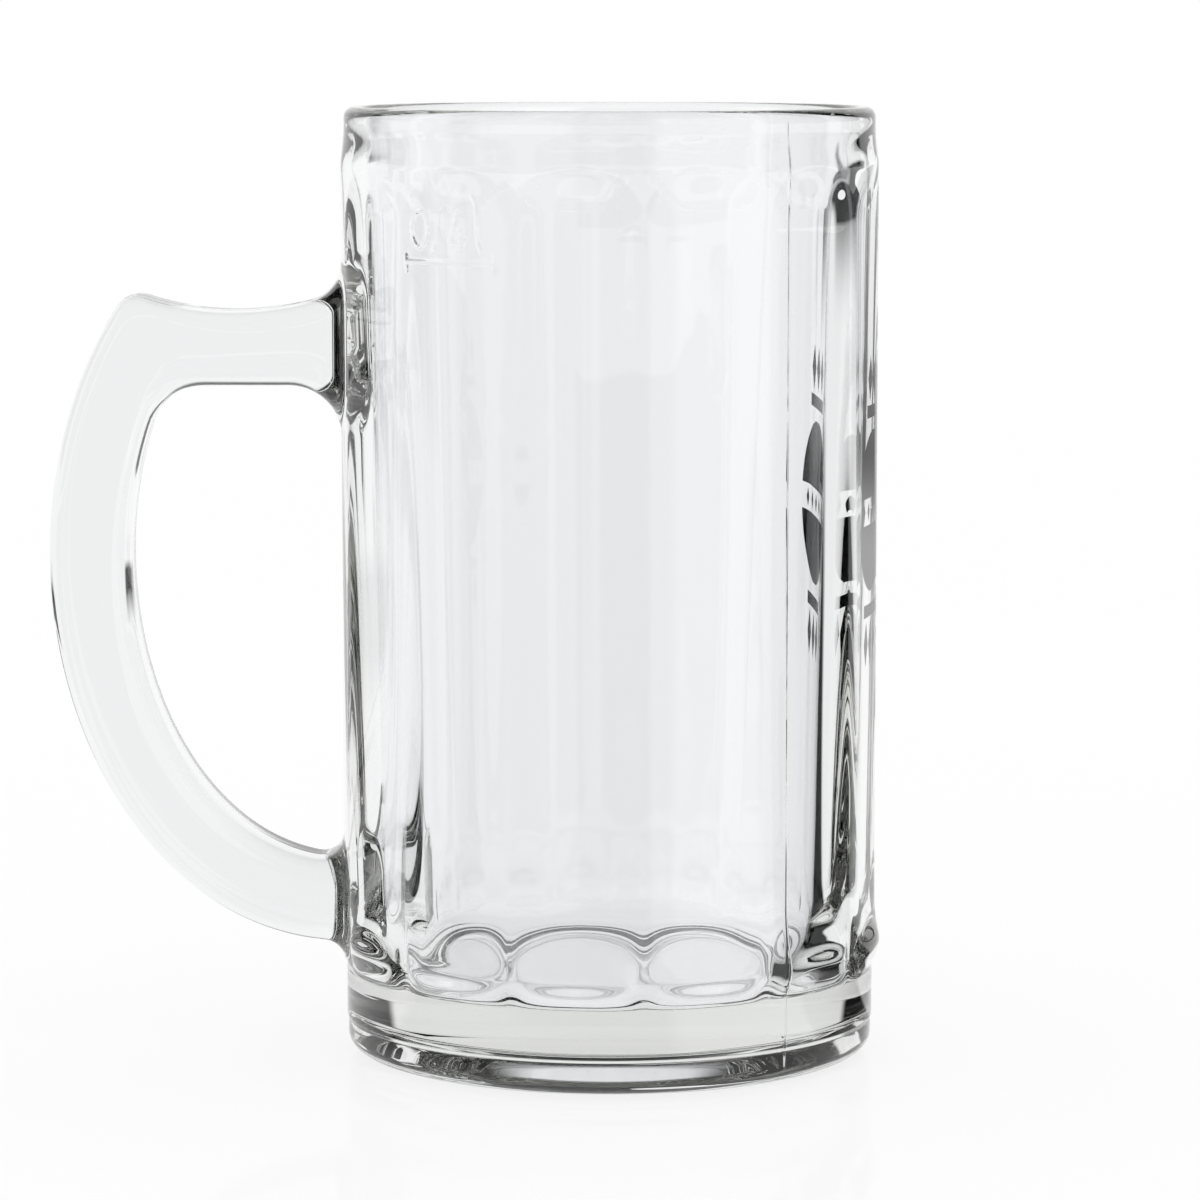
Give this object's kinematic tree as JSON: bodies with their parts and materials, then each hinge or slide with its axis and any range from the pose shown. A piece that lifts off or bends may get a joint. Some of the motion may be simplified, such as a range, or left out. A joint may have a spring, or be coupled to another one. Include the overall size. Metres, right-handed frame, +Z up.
{
  "type": "glass beer mug",
  "caption": "Straight-sided pressed-glass beer mug with arched flat panels that end in rounded beads, a plain solid base band and a solid D-shaped glass handle with a thumb rest.",
  "frame": {"origin": "centre of the foot ring's flat underside, on the mug's axis", "axes": "+Z up along the mug's axis, -X towards the handle, +Y away from a viewer who has the handle on the left"},
  "size_m": [0.1273, 0.0838, 0.146],
  "materials": {
    "clear_glass": "clear fire-polished soda-lime glass with a faint grey-green tint",
    "black_print": "thin fired enamel print on the wall opposite the handle, made in the visual model only"
  },
  "bodies": {
    "root": {"vessel": "clear_glass", "handle": "clear_glass"}
  },
  "joints": []
}
